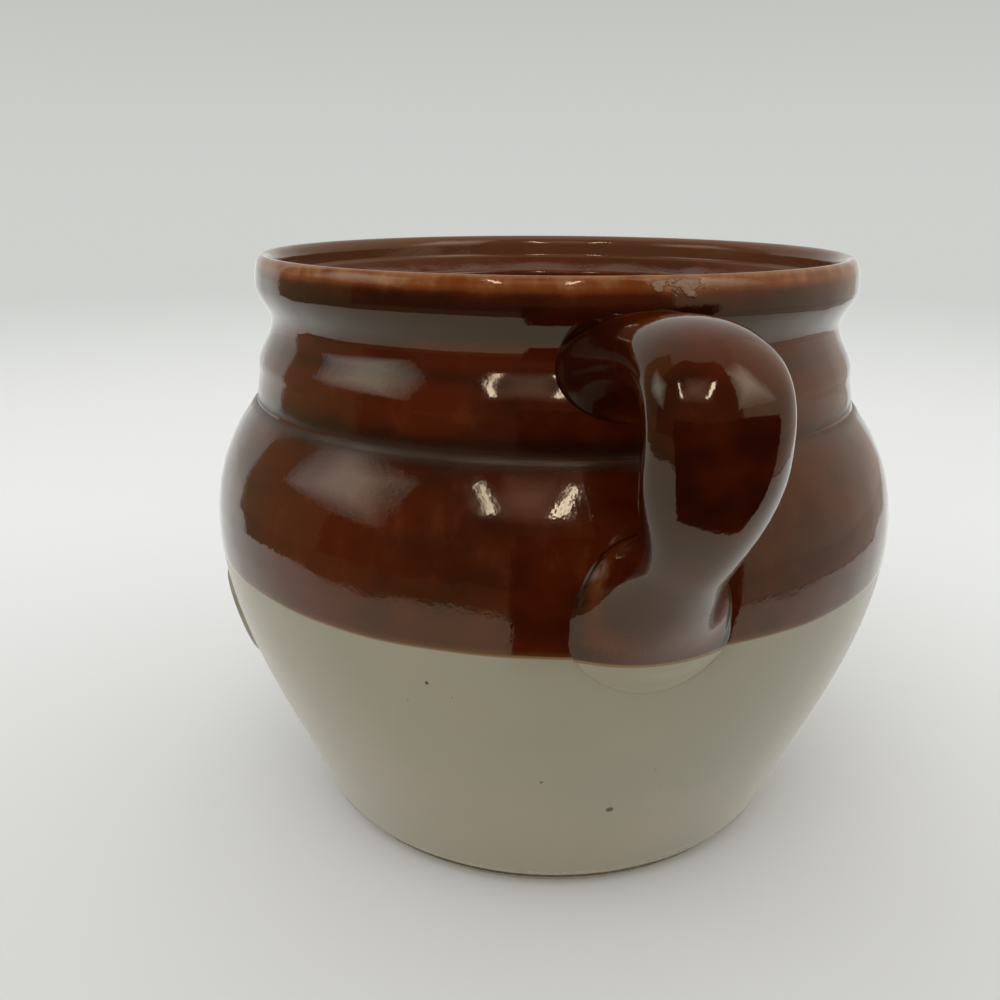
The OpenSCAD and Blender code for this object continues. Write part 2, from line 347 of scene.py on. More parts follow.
def make_dark_coat():
    """The dark glaze as one closed shell, from the middle of the floor up the inside, over the rim and
    down the outside to its wandering edge, then back the same way just inside the clay.
    """
    lip = GLAZE_Z + np.array(EDGE_ROWS)[:, None]
    up = np.concatenate([np.hstack([wall_radius(lip), lip]),
                         OUTSIDE[OUTSIDE[:, 1] > GLAZE_Z + WALL_ROWS]])
    way = np.concatenate([up, INSIDE])
    r, z = way[:, :1], way[:, 1:]
    outer = (np.arange(len(way)) < len(up))[:, None]
    edge_z = glaze_edge(ANGLES)
    shift = (edge_z - GLAZE_Z)*np.clip(1 - (z - GLAZE_Z)/EDGE_FADE, 0, 1)
    z_face = np.where(outer, z + shift, z + 0*ANGLES)
    on_wall = outer & (z < RIM_Z)
    r_face = np.where(on_wall, wall_radius(z_face), r + 0*ANGLES)
    above = z_face - edge_z
    crest_fade = np.clip((POT_H - CREST_STILL - z_face)/CREST_FADE, 0, 1)
    outer_move = crest_fade*thrown_face(ANGLES, z_face) - EDGE_DROP*hump(above, 0, EDGE_ROUND)
    inner_fade = np.clip((LIP_Z - INNER_STILL - z_face)/INNER_FADE, 0, 1)
    inner_move = INNER_LUMP*inner_fade*waves(ANGLES, z_face, *INNER_WAVES)
    r_face = r_face + np.where(outer, outer_move, inner_move)
    back = set_in(way, COAT_IN)[::BACK_STEP]
    back[0] = way[0] + [-COAT_IN, BACK_RISE]
    back_z = back[:, 1:] + 0*ANGLES
    back_z[0] = back_z[0] + edge_z[0] - GLAZE_Z
    grid = np.concatenate([about_axis(r_face[::-1], ANGLES, z_face[::-1]),
                           about_axis(back[:, :1], ANGLES, back_z)])
    poles = [[0, 0, FLOOR_T], [0, 0, FLOOR_T - COAT_IN]]
    coat = piece_from_grid("dark_glaze_coat", grid, poles)
    arc = (np.radians(SCAR_AT) - ANGLES + 2*np.pi*(ANGLES > np.pi))*RIM_D/2
    looks = {
        # on the crest this thinness also carries the painted highlight of its sheen
        "thin": np.where(outer, humps(z_face, *THIN_AND_SHEEN_OUTSIDE), humps(z_face, *THIN_INSIDE)),
        "pooled_and_shade": outer*humps(z_face, *POOLED_AND_SHADE_OUTSIDE),
        "edge": outer*humps(above, OLIVE),
        "scar": outer*hump(arc, 0, SCAR_LONG/2)*hump(z_face, SCAR_Z, SCAR_HIGH),
        "inner_wall": INNER_SHARE*ease(z_face, SEAT_Z - 1, SEAT_Z + 1)*~outer,
        "crease": outer*humps(z_face, CREASE)}
    for name, values in looks.items():
        store(coat, name, np.concatenate([values[::-1].ravel(), np.zeros(back_z.size + 2)]))
    return coat


def make_pale_coat():
    """The pale glaze as a closed ring on the outside, from the bevel up under the dark glaze's edge."""
    top = glaze_edge(ANGLES) + LAP
    share = np.linspace(0, 1, PALE_ROWS)[:, None]**PALE_CROWD
    z = BARE_Z + share*(top - BARE_Z)
    thinner = FOOT_ROLL*hump(z, BARE_Z, FOOT_ROLL_REACH) + FOOT_SOFT*hump(z, BEVEL_H, FOOT_SOFT_REACH)
    r = wall_radius(z) - STEP - thinner + PALE_LUMPS*thrown_face(ANGLES, z)
    back = np.linspace(1, 0, PALE_BACK_ROWS)[:, None]
    back_z = BARE_Z + PALE_BACK_IN + back*(top - BARE_Z - 2*PALE_BACK_IN)
    back_r = wall_radius(back_z) - STEP - COAT_IN
    grid = np.concatenate([about_axis(r, ANGLES, z), about_axis(back_r, ANGLES, back_z)])
    return piece_from_grid("pale_glaze_coat", grid)


# ---------------------------------------------------------------- handle

CREEP = 90.0          # straight run of the middle line past its ends, per unit of station
PAST_ENDS, TRIM_ROWS = 0.12, 900          # stations past its ends where the wall is sought, and rows
BURIED = 1.2          # how deep in the wall the handle's mesh ends
ROW_CROWD = 0.35      # how much closer the rows lie at both ends
SIDE_FROM = 0.7       # station from which the handle bends sideways to its pad
ROOT_BLUNT, PAD_BLUNT, BLUNT_REACH = 0.15, 0.35, 0.3      # the oval squares up towards both ends,
GAP_SIDE = (-0.2, 0.9)                    # at the pad on its side to the finger gap, as a span of -cos a
ROOT_SKIRT, PAD_SKIRT, SKIRT_HIGH = 1.2, 2.2, 5.0         # how far, and how high, the ends spread
LIP, LIP_HIGH = 1.1, 1.5                  # how far a pressed end's rounded lip pulls back
SMOOTH_FROM, SMOOTH_TO = 4, 13            # depths under the pad's middle over which the lip is smoothed
SMOOTH_DOWN, SMOOTH_SIDE = 1.2, 0.7       # there the pad runs further down and less sideways
HAND_TURNS, HAND_RUN = 3, 60              # the lumps' repeats round the handle, and length along it
HAND_FADE = 6         # distance off the wall over which they fade
NEVER_0 = 1e-6        # added where a distance is divided by

# Where the handle's glaze ran thin, and where it is darker: (strength, middle, reach), by distance off
# the wall or by station along the handle; thin by the wall only from a height over the glaze line.
# Darker by the wall is painted shade with pooled glaze, darker on the root's side to -Y is painted
# shade, and along the handle it is darker just past the bow
THIN_OFF, THIN_LINE, THIN_ALONG = (0.35, 3.5, 2.5), 4, (0.15, 0.3, 0.12)
POOLED_AND_SHADE_OFF, DARKER_ALONG, ROOT_SHADE = (1.0, 0, 1.2), (0.5, 0.62, 0.14), (1.0, 0, 0.45)
ROOT_SIDE = (0.1, 0.9)                    # the painted shade on the root lies on its side to -Y, as a span of -sin a

ROOT_AT = np.array([wall_radius(ROOT_Z) - ROOT_DEPTH, ROOT_Z])
PAD_END = np.array([wall_radius(PAD_Z) - PAD_DEPTH, PAD_Z])
BOW_AT = np.array([BELLY_D/2 + BOW_REACH, BOW_Z])
ROOT_WAY = np.array([math.cos(math.radians(ROOT_RISE)), math.sin(math.radians(ROOT_RISE))])
PAD_WAY = np.array([math.cos(math.radians(PAD_DROP)), math.sin(math.radians(PAD_DROP))])


def cubic(a, b, c, d, t):
    """A Bezier cubic and its direction at t, past its ends too."""
    t = t[..., None]
    point = (1 - t)**3*a + 3*(1 - t)**2*t*b + 3*(1 - t)*t**2*c + t**3*d
    way = (1 - t)**2*(b - a) + 2*(1 - t)*t*(c - b) + t**2*(d - c)
    return point, way


def middle_line(k):
    """The handle's middle line in the plane of +X and +Z: one cubic to the bow and one from it."""
    upper = cubic(ROOT_AT, ROOT_AT + ROOT_PULL*ROOT_WAY, BOW_AT + [0, CROWN_PULL], BOW_AT,
                  2*np.clip(k, 0, 0.5))
    lower = cubic(BOW_AT, BOW_AT - [0, BOW_PULL], PAD_END + PAD_PULL*PAD_WAY, PAD_END,
                  2*np.clip(k, 0.5, 1) - 1)
    first = (k < 0.5)[..., None]
    point = np.where(first, upper[0], lower[0])
    way = np.where(first, upper[1], lower[1])
    way = way/np.linalg.norm(way, axis=-1, keepdims=True)
    beyond = CREEP*(np.clip(k, None, 0) + np.clip(k - 1, 0, None))
    return point + beyond[..., None]*way, way


def half_size(k, root, grip, neck, pad):
    """Half the handle's width or thickness at station k."""
    return (grip + (root - grip)*flare(k, GRIP_FROM) + (neck - grip)*ease(k, GRIP_TO, NECK_AT)
            + (pad - neck)*flare(1 - k, 1 - PAD_FROM))/2


def bar_face(k, a):
    """The handle's face at station k and angle a round it: distance off the wall, angle and height."""
    point, way = middle_line(k)
    width = half_size(k, ROOT_W, GRIP_W, NECK_W, PAD_W)
    thick = half_size(k, ROOT_T, GRIP_T, NECK_T, PAD_T)
    to_gap = np.stack([way[..., 1], -way[..., 0]], -1)
    pad_blunt = PAD_BLUNT*flare(1 - k, BLUNT_REACH)*ease(-np.cos(a), *GAP_SIDE)
    blunt = 1 - pad_blunt - ROOT_BLUNT*flare(k, BLUNT_REACH)
    across = np.sign(np.cos(a))*np.abs(np.cos(a))**blunt
    along = np.sign(np.sin(a))*np.abs(np.sin(a))**blunt
    edge = point - thick[..., None]*across[..., None]*to_gap
    y = width*along + BOW_SIDE*np.sin(np.pi*np.clip(k, 0, 1)) + PAD_SIDE*ease(k, SIDE_FROM, 1)
    r = np.hypot(edge[..., 0], y)
    return r - wall_radius(edge[..., 1]), np.arctan2(y, edge[..., 0]), edge[..., 1]


def trimmed(a, depth):
    """Stations at which each line along the handle passes a depth inside the wall, at both ends."""
    k = np.linspace(-PAST_ENDS, 1 + PAST_ENDS, TRIM_ROWS)[:, None] + 0*a
    off = bar_face(k, a + 0*k)[0] + depth
    middle = len(k)//2
    root = middle - np.argmax(off[middle::-1] < 0, axis=0)
    pad = middle + np.argmax(off[middle:] < 0, axis=0)
    col = np.arange(a.shape[1])

    def crossing(i, j):
        share = off[i, col]/(off[i, col] - off[j, col])
        return k[i, col] + share*(k[j, col] - k[i, col])
    return crossing(root + 1, root), crossing(pad - 1, pad)


def pressed(k, off, angle, z):
    """Angle and height of the face with its ends spread on the wall and their lips pulled back."""
    upper = k < 0.5
    centre_z = np.where(upper, z[0].mean(), z[-1].mean())
    arc = angle*wall_radius(z)
    reach = np.hypot(arc, z - centre_z) + NEVER_0
    near = np.clip(1 - off/SKIRT_HIGH, 0, 1)
    spread = np.where(upper, ROOT_SKIRT, PAD_SKIRT)*(1 - np.sqrt(np.clip(1 - near**2, 0, 1)))
    smoothed = ease(centre_z - z, SMOOTH_FROM, SMOOTH_TO)*~upper
    spread = spread*(1 + SMOOTH_DOWN*smoothed) - LIP*np.clip(1 - off/LIP_HIGH, 0, 1)**2*(1 - smoothed)
    z = z + spread*(z - centre_z)/reach
    arc = arc + spread*(1 - SMOOTH_SIDE*smoothed)*arc/reach
    return arc/wall_radius(z), z


def make_handle():
    """The ear handle: an oval bar swept along its middle line and pressed on the wall at both ends."""
    a = np.linspace(0, 2*np.pi, HANDLE_AROUND, endpoint=False)[None, :]
    start, end = trimmed(a, BURIED)
    u = np.linspace(-1, 1, HANDLE_ALONG)[:, None]
    share = 0.5 + 0.5*(ROW_CROWD*np.sin(u*np.pi/2) + (1 - ROW_CROWD)*u)
    k = start + share*(end - start)
    off, angle, z = bar_face(k, a + 0*k)
    angle, z = pressed(k, off, angle, z)
    lumps = HAND_LUMP*(waves(HAND_TURNS*a, HAND_RUN*k, *HAND_WAVES) - 1)*np.clip(off/HAND_FADE, 0, 1)
    face = about_axis(wall_radius(z) + off + lumps, angle, z)
    handle = piece_from_grid("ear_handle", face, [face[0].mean(0), face[-1].mean(0)])
    above = z - glaze_edge(angle)
    # painted shade: the root is darker on its side to -Y
    root_shade = ease(-np.sin(a), *ROOT_SIDE)*humps(k, ROOT_SHADE)
    looks = {
        "above_line": above,
        "thin": humps(off, THIN_OFF)*(above > THIN_LINE)*(1 - root_shade) + humps(k, THIN_ALONG),
        "pooled_and_shade": humps(off, POOLED_AND_SHADE_OFF) + humps(k, DARKER_ALONG) + root_shade}
    for name, values in looks.items():
        store(handle, name, np.concatenate([values.ravel(), [values[0].mean(), values[-1].mean()]]))
    return handle


# ---------------------------------------------------------------- medallion

MEDAL_SLOPE_IN, MEDAL_SLOPE_OUT = 0.6, 0.4    # how far the step up reaches from the rim's inner side
MEDAL_EDGE = 1.0                          # width of the rounded edge
MEDAL_IN, MEDAL_BACK = 0.6, 1.0           # how deep the edge and the hidden back lie in the wall
MEDAL_SHY = 0.02                          # how far the face keeps inside the solid's
MEDAL_MID = 0.6                           # radius of the innermost ring
MEDAL_FIELD_ROWS, MEDAL_RIM_ROWS, MEDAL_BACK_ROWS = 12, 16, 8
MEDAL_ROW_GAP = 0.2                       # between the rings of the field and those of the rim


def make_medallion():
    """A plain raised disc on the wall facing -Y: height over the wall is a smooth step up to a rim,
    then down to a flat field, turned about its own middle.
    """
    middle_z = GLAZE_Z - MEDAL_GAP - MEDAL_D/2
    radius = MEDAL_D/2
    slope_from = radius - MEDAL_RIM_W - MEDAL_SLOPE_IN
    rho = np.concatenate([np.linspace(MEDAL_MID, slope_from - MEDAL_ROW_GAP, MEDAL_FIELD_ROWS),
                          np.linspace(slope_from, radius, MEDAL_RIM_ROWS)])[:, None]
    turn = np.linspace(0, 2*np.pi, MEDAL_AROUND, endpoint=False)[None, :]
    up = ease(rho, slope_from, radius - MEDAL_RIM_W + MEDAL_SLOPE_OUT)
    fall = ease(rho, radius - MEDAL_EDGE, radius)
    height = (MEDAL_FIELD + (MEDAL_RIM - MEDAL_FIELD)*up)*(1 - fall) - MEDAL_IN*fall - MEDAL_SHY
    back = np.linspace(radius, MEDAL_MID, MEDAL_BACK_ROWS)[1:, None]
    rho = np.concatenate([rho, back])
    height = np.concatenate([height, np.full_like(back, -MEDAL_BACK)])
    z = middle_z + rho*np.sin(turn)
    angle = -np.pi/2 + rho*np.cos(turn)/wall_radius(z)
    poles = [[0, -wall_radius(middle_z) - MEDAL_FIELD + MEDAL_SHY, middle_z],
             [0, -wall_radius(middle_z) + MEDAL_BACK, middle_z]]
    return piece_from_grid("plain_medallion", about_axis(wall_radius(z) + height, angle, z), poles)


# ---------------------------------------------------------------- node trees

class Nodes:
    """A node tree with short ways to add nodes and join them; place holds the named coordinates."""

    def __init__(self, tree, coordinates="Object"):
        self.tree = tree
        self.place = self.add("ShaderNodeTexCoord").outputs[coordinates]

    def add(self, kind, **settings):
        """A new node with its settings."""
        node = self.tree.nodes.new(kind)
        for name, value in settings.items():
            setattr(node, name, value)
        return node

    def join(self, source, target):
        """Links a node's output to an input."""
        self.tree.links.new(source, target)

    def ramp(self, source, low, high, to=(0.0, 1.0)):
        """Carries a number smoothly from low..high to a new span, clamped."""
        node = self.add("ShaderNodeMapRange", interpolation_type="SMOOTHSTEP")
        for name, value in zip(("From Min", "From Max", "To Min", "To Max"), (low, high, *to)):
            node.inputs[name].default_value = value
        self.join(source, node.inputs["Value"])
        return node.outputs["Result"]

    def maths(self, operation, a, b):
        """A number worked out from two others, each a plain number or a node's output."""
        node = self.add("ShaderNodeMath", operation=operation)
        for socket, value in zip(node.inputs, (a, b)):
            if isinstance(value, (int, float)):
                socket.default_value = value
            else:
                self.join(value, socket)
        return node.outputs["Value"]

    def vector(self, operation, other=None):
        """The place's length, or its product with or distance from another vector."""
        node = self.add("ShaderNodeVectorMath", operation=operation)
        self.join(self.place, node.inputs[0])
        if other:
            node.inputs[1].default_value = other
        return node.outputs["Value"]

    def mix(self, share, a, b):
        """Colour from a to b by a share."""
        node = self.add("ShaderNodeMix", data_type="RGBA")
        for socket, value in ((node.inputs[0], share), (node.inputs[6], a), (node.inputs[7], b)):
            if isinstance(value, tuple):
                socket.default_value = (*value, 1)
            else:
                self.join(value, socket)
        return node.outputs[2]


class Finish(Nodes):
    """A new material whose colour, gloss and bumps come from nodes."""

    def __init__(self, name):
        self.material = bpy.data.materials.new(name)
        self.material.use_nodes = True
        super().__init__(self.material.node_tree)
        self.shader = self.tree.nodes["Principled BSDF"]

    def set(self, socket, value):
        """Gives a socket of the shader a plain value, a plain colour or a node's output."""
        target = self.shader.inputs[socket]
        if isinstance(value, tuple):
            target.default_value = (*value, 1)
        elif isinstance(value, float):
            target.default_value = value
        else:
            self.join(value, target)

    def noise(self, scale, detail, rough=0.55, stretch=(1, 1, 1)):
        """Noise over the object, scale in lumps a metre."""
        mapping = self.add("ShaderNodeMapping")
        mapping.inputs["Scale"].default_value = stretch
        self.join(self.place, mapping.inputs["Vector"])
        node = self.add("ShaderNodeTexNoise")
        for name, value in (("Scale", scale), ("Detail", detail), ("Roughness", rough)):
            node.inputs[name].default_value = value
        self.join(mapping.outputs["Vector"], node.inputs["Vector"])
        return node.outputs["Fac"]

    def attribute(self, name):
        """A number stored for each vertex of the mesh."""
        return self.add("ShaderNodeAttribute", attribute_name=name).outputs["Fac"]

    def spots(self, scale, low, high):
        """Round spots in the middle of Voronoi cells, and each cell's own random number."""
        node = self.add("ShaderNodeTexVoronoi", feature="F1")
        node.inputs["Scale"].default_value = scale
        self.join(self.place, node.inputs["Vector"])
        near = self.ramp(node.outputs["Distance"], low, high, (1.0, 0.0))
        split = self.add("ShaderNodeSeparateColor")
        self.join(node.outputs["Color"], split.inputs["Color"])
        return near, split.outputs["Red"]

    def spot_at(self, angle, height, reach):
        """1 within a reach of a place on the pot's wall and 0 just past it; sizes in millimetres."""
        radius = float(wall_radius(height))
        centre = (radius*MM*math.cos(angle), radius*MM*math.sin(angle), height*MM)
        return self.ramp(self.vector("DISTANCE", centre), reach*MM, SPECK_BLUR*reach*MM, (1.0, 0.0))

    def bumps(self, *layers):
        """Stacks bumps; each layer is (height, distance in millimetres)."""
        normal = None
        for height, depth in layers:
            node = self.add("ShaderNodeBump")
            node.inputs["Strength"].default_value = 1.0
            node.inputs["Distance"].default_value = depth*MM
            self.join(height, node.inputs["Height"])
            if normal is not None:
                self.join(normal, node.inputs["Normal"])
            normal = node.outputs["Normal"]
        self.set("Normal", normal)


# ---------------------------------------------------------------- materials

GLAZE_SHEEN = (1.0, 0.86, 0.60)        # the dark glaze's own tint on what it mirrors face on
DARK_DEEP = (0.017, 0.0025, 0.0006)
DARK_WARM = (0.056, 0.0068, 0.0008)
DARK_AMBER = (0.150, 0.0360, 0.0070)
DARK_TAN_SHEEN = (0.270, 0.120, 0.045)
DARK_INNER = (0.125, 0.044, 0.019)
EDGE_OLIVE = (0.200, 0.120, 0.030)
SCAR_PALE = (0.190, 0.098, 0.055)
PALE_WARM = (0.284, 0.242, 0.164)
PALE_COOL = (0.250, 0.226, 0.154)
IRON = (0.030, 0.020, 0.012)
CLAY_DARK, CLAY_LIGHT, GRIT = (0.30, 0.25, 0.17), (0.40, 0.34, 0.24), (0.13, 0.08, 0.045)

# Noises: scale in lumps a metre, detail, roughness, stretch
CLOUDS = (32, 3, 0.6, (1, 1, 1.5))
MOTTLE = (170, 3, 0.6, (1, 1, 0.6))
SAGS, DIMPLES = (60, 1), (850, 1)
PALE_DRIFT, PALE_SAGS, PALE_DIMPLES = (16, 2), (55, 1), (600, 1)
SCAR_CRUST = (420, 3)
SAND, CLAY_PITS = (700, 5, 0.7), (300, 4, 0.7)

# Spots: cells a metre, and the distances from a cell's middle between which a spot ends
FINE_SPECKS, GRAINS = (330, 0.05, 0.11), (500, 0.1, 0.22)
SPECK_BLUR = 1.6      # where a placed speck ends, in its own radius

# Depths of the bumps, in millimetres
SAG_DEEP, DIMPLE_DEEP, PALE_SAG_DEEP, PALE_DIMPLE_DEEP = 0.35, 0.016, 0.22, 0.012
SCAR_DEEP, LINE_DEEP, CLAY_PIT_DEEP, SAND_DEEP = 0.6, 0.3, 0.12, 0.05

# Ramps: where they start and end, and what they carry that to where it isn't 0 to 1
CLOUD_DEPTH = (0.30, 0.62, (0.35, 1.0))       # how deep the glaze looks in the clouds
MOTTLE_THIN = (0.25, 0.7, (0.8, 1.15))        # how the mottle varies the thin places
FRECKLE_PEAKS = (0.50, 0.8)                   # which peaks of the mottle are freckles
THIN_AMBER, THIN_TAN_SHEEN = (0.05, 0.95), (0.8, 1.3, (0.0, 0.75))    # thinness that shows amber and tan; on the crest the tan is partly painted highlight
MOTTLE_ROUGH = (0.3, 0.75, (0.05, 0.12))      # roughness of the dark glaze
DRIFTS = (0.35, 0.65)
FEW_CELLS = (0.955, 0.965, (0.0, 0.45))       # the cells that have a fine speck, and its strength
CRUST, SCARRED = (0.38, 0.6, (0.1, 1.5)), (0.25, 0.6)           # how the crust breaks up the scar
SANDY, GRITTY = (0.3, 0.7), (0.85, 0.9)

HANDLE_ROUGH, PALE_ROUGH, CLAY_ROUGH = 0.07, 0.27, 0.88
SCAR_DULL, CREASE_DULL = 0.4, 0.38     # roughness that the rim's scar and the crease add
FRECKLES = 0.20                        # how much thinner the glaze is at its freckles

# Distances from the handle's glaze line over which its two glazes change and its olive line fades
LINE_BLUR, OLIVE_FADE = 0.15, (0.1, 1.0)

# Iron specks that show on the pale glaze: degrees from +X, height and radius in millimetres
SPECKS = ((-30.7, 70.4, 0.45), (-14.8, 42.8, 0.40), (-2.9, 31.9, 0.75), (41.0, 66.0, 0.40))


def dark_look(finish):
    """Reddish brown: nearly black where the glaze pooled and where shade is painted, amber and tan where
    it ran thin; on the crest the tan is partly a painted highlight.
    """
    clouds = finish.noise(*CLOUDS)
    mottle = finish.noise(*MOTTLE)
    cloudy = finish.ramp(clouds, *CLOUD_DEPTH)
    # pooled glaze and painted shade darken the colour
    depth = finish.maths("SUBTRACT", cloudy, finish.attribute("pooled_and_shade"))
    base = finish.mix(finish.ramp(depth, 0.0, 1.0), DARK_DEEP, DARK_WARM)
    uneven = finish.ramp(mottle, *MOTTLE_THIN)
    thinness = finish.maths("MULTIPLY", finish.attribute("thin"), uneven)
    freckles = finish.maths("MULTIPLY", finish.ramp(mottle, *FRECKLE_PEAKS), FRECKLES)
    thinness = finish.maths("ADD", thinness, freckles)
    amber = finish.mix(finish.ramp(thinness, *THIN_AMBER), base, DARK_AMBER)
    # the tan on the crest is partly a painted highlight for its sheen
    return finish.mix(finish.ramp(thinness, *THIN_TAN_SHEEN), amber, DARK_TAN_SHEEN), mottle


def pale_look(finish):
    """Greyish cream with slow warm and cool drifts, a few iron specks and many fine ones."""
    base = finish.mix(finish.ramp(finish.noise(*PALE_DRIFT), *DRIFTS), PALE_COOL, PALE_WARM)
    near, chance = finish.spots(*FINE_SPECKS)
    speck = finish.maths("MULTIPLY", near, finish.ramp(chance, *FEW_CELLS))
    for angle, height, reach in SPECKS:
        speck = finish.maths("MAXIMUM", speck, finish.spot_at(math.radians(angle), height, reach))
    return finish.mix(speck, base, IRON)


def sagging(finish):
    """Slow sags of the run glaze, and under them the fine dimples that break a lamp into sparks."""
    return (finish.noise(*SAGS), SAG_DEEP), (finish.noise(*DIMPLES), DIMPLE_DEEP)


def dark_glaze_finish():
    """Glossy dark glaze, olive where its edge runs out and dry where the kiln scarred it."""
    finish = Finish("dark glaze")
    colour, mottle = dark_look(finish)
    colour = finish.mix(finish.attribute("inner_wall"), colour, DARK_INNER)
    colour = finish.mix(finish.attribute("edge"), colour, EDGE_OLIVE)
    crust = finish.noise(*SCAR_CRUST)
    broken = finish.ramp(crust, *CRUST)
    scar = finish.ramp(finish.maths("MULTIPLY", finish.attribute("scar"), broken), *SCARRED)
    finish.set("Base Color", finish.mix(scar, colour, SCAR_PALE))
    dull = finish.maths("ADD", finish.maths("MULTIPLY", scar, SCAR_DULL),
                        finish.maths("MULTIPLY", finish.attribute("crease"), CREASE_DULL))
    finish.set("Roughness", finish.maths("ADD", finish.ramp(mottle, *MOTTLE_ROUGH), dull))
    finish.set("Specular Tint", GLAZE_SHEEN)
    finish.bumps(*sagging(finish), (finish.maths("MULTIPLY", scar, crust), SCAR_DEEP))
    return finish.material


def pale_glaze_finish():
    """Satin pale glaze."""
    finish = Finish("pale glaze")
    finish.set("Base Color", pale_look(finish))
    finish.set("Roughness", PALE_ROUGH)
    finish.bumps((finish.noise(*PALE_SAGS), PALE_SAG_DEEP),
                 (finish.noise(*PALE_DIMPLES), PALE_DIMPLE_DEEP))
    return finish.material


def handle_finish():
    """Dark glaze above the dipping line and pale glaze under it, as on the wall beside the handle."""
    finish = Finish("handle glaze")
    above = finish.attribute("above_line")
    dark, _ = dark_look(finish)
    line = finish.ramp(finish.maths("ABSOLUTE", above, 0), *OLIVE_FADE, (1.0, 0.0))
    dark = finish.mix(line, dark, EDGE_OLIVE)
    share = finish.ramp(above, -LINE_BLUR, LINE_BLUR)
    finish.set("Base Color", finish.mix(share, pale_look(finish), dark))
    finish.set("Roughness", finish.ramp(above, -LINE_BLUR, LINE_BLUR, (PALE_ROUGH, HANDLE_ROUGH)))
    finish.set("Specular Tint", GLAZE_SHEEN)
    finish.bumps((share, LINE_DEEP), *sagging(finish))
    return finish.material


def clay_finish():
    """Bare fired stoneware, sandy and matt."""
    finish = Finish("bare stoneware")
    sand = finish.ramp(finish.noise(*SAND), *SANDY)
    near, chance = finish.spots(*GRAINS)
    grit = finish.maths("MULTIPLY", near, finish.ramp(chance, *GRITTY))
    finish.set("Base Color", finish.mix(grit, finish.mix(sand, CLAY_DARK, CLAY_LIGHT), GRIT))
    finish.set("Roughness", CLAY_ROUGH)
    finish.bumps((finish.noise(*CLAY_PITS), CLAY_PIT_DEEP), (sand, SAND_DEEP))
    return finish.material


def dress(piece, material, slot=None, *nodes):
    """Gives a piece its material; a new piece also rides on the body and stands for its CAD nodes."""
    piece.data.materials.clear()
    piece.data.materials.append(material)
    if slot:
        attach(piece, "root")
        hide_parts(*nodes)


# ---------------------------------------------------------------- sheet and daylight

FACING = math.radians(-CAMERA_OFF)    # direction of the photograph's camera from the pot
AHEAD = (math.cos(FACING), math.sin(FACING), 0)

PAPER_SHADED_NEAR = (0.72, 0.72, 0.70)       # the sheet's colour in front of the pot, darker as painted shade, and behind it, lighter as painted light
PAPER_LIT_FAR = (0.92, 0.93, 0.92)
PAPER_ROUGH = 0.9
NEAR_AT, FAR_AT = 0.20, -0.25         # where it changes, in metres towards the camera
FADE_FROM, FADE_TO = 0.45, 1.6        # distances at which the floor passes into the background
FLOOR_R, FLOOR_AROUND = 4.0, 96
HORIZON = (0.615, 0.635, 0.605)
ZENITH = (0.42, 0.42, 0.40)
SKY_LOW, SKY_HIGH = -0.05, 0.45       # heights on the unit sphere between horizon and zenith colour
MIRRORED = 1.4        # how much brighter the sheet is in the glaze than the camera shows it
DAYLIGHT = (0.80, 0.80, 0.79)

LAMP_SIZE, LAMP_WATTS = 0.9, 3.6
LAMP_OUT, LAMP_UP, LAMP_TURN = 0.75, 1.0, -0.3    # metres, metres, radians from the camera's side


def make_floor():
    """A wide pale floor, darker in front of the pot and lighter behind it as painted shade and light,
    that fades into the background's colour away from the pot.
    """
    bpy.ops.mesh.primitive_circle_add(vertices=FLOOR_AROUND, radius=FLOOR_R, fill_type="NGON")
    floor = bpy.context.object
    floor.name = "floor"
    finish = Finish("floor")
    behind = finish.ramp(finish.vector("DOT_PRODUCT", AHEAD), NEAR_AT, FAR_AT)
    finish.set("Base Color", finish.mix(behind, PAPER_SHADED_NEAR, PAPER_LIT_FAR))
    finish.set("Roughness", PAPER_ROUGH)
    seen = finish.add("ShaderNodeLightPath").outputs
    finish.set("Emission Color", HORIZON)
    finish.set("Emission Strength", finish.maths("MULTIPLY", seen["Is Glossy Ray"], MIRRORED - 1))
    fade = finish.ramp(finish.vector("LENGTH"), FADE_FROM, FADE_TO)
    glow = finish.add("ShaderNodeEmission")
    glow.inputs["Color"].default_value = (*HORIZON, 1)
    mixed = finish.add("ShaderNodeMixShader")
    finish.join(finish.maths("MULTIPLY", fade, seen["Is Camera Ray"]), mixed.inputs["Fac"])
    finish.join(finish.shader.outputs[0], mixed.inputs[1])
    finish.join(glow.outputs[0], mixed.inputs[2])
    finish.join(mixed.outputs[0], finish.tree.nodes["Material Output"].inputs["Surface"])
    floor.data.materials.append(finish.material)


def set_world():
    """Camera, mirror and glass see a pale sheet that darkens upwards; all else gets plain daylight."""
    world = bpy.data.worlds.new("pale room")
    bpy.context.scene.world = world
    world.use_nodes = True
    nodes = Nodes(world.node_tree, "Generated")
    back = nodes.tree.nodes["Background"].inputs
    split = nodes.add("ShaderNodeSeparateXYZ")
    nodes.join(nodes.place, split.inputs[0])
    sheet = nodes.mix(nodes.ramp(split.outputs["Z"], SKY_LOW, SKY_HIGH), HORIZON, ZENITH)
    ray = nodes.add("ShaderNodeLightPath").outputs
    nodes.join(nodes.ramp(ray["Is Glossy Ray"], 0.0, 1.0, (1.0, MIRRORED)), back["Strength"])
    seen = nodes.maths("MAXIMUM", ray["Is Camera Ray"], ray["Is Glossy Ray"])
    seen = nodes.maths("MAXIMUM", seen, ray["Is Transmission Ray"])
    nodes.join(nodes.mix(seen, DAYLIGHT, sheet), back["Color"])


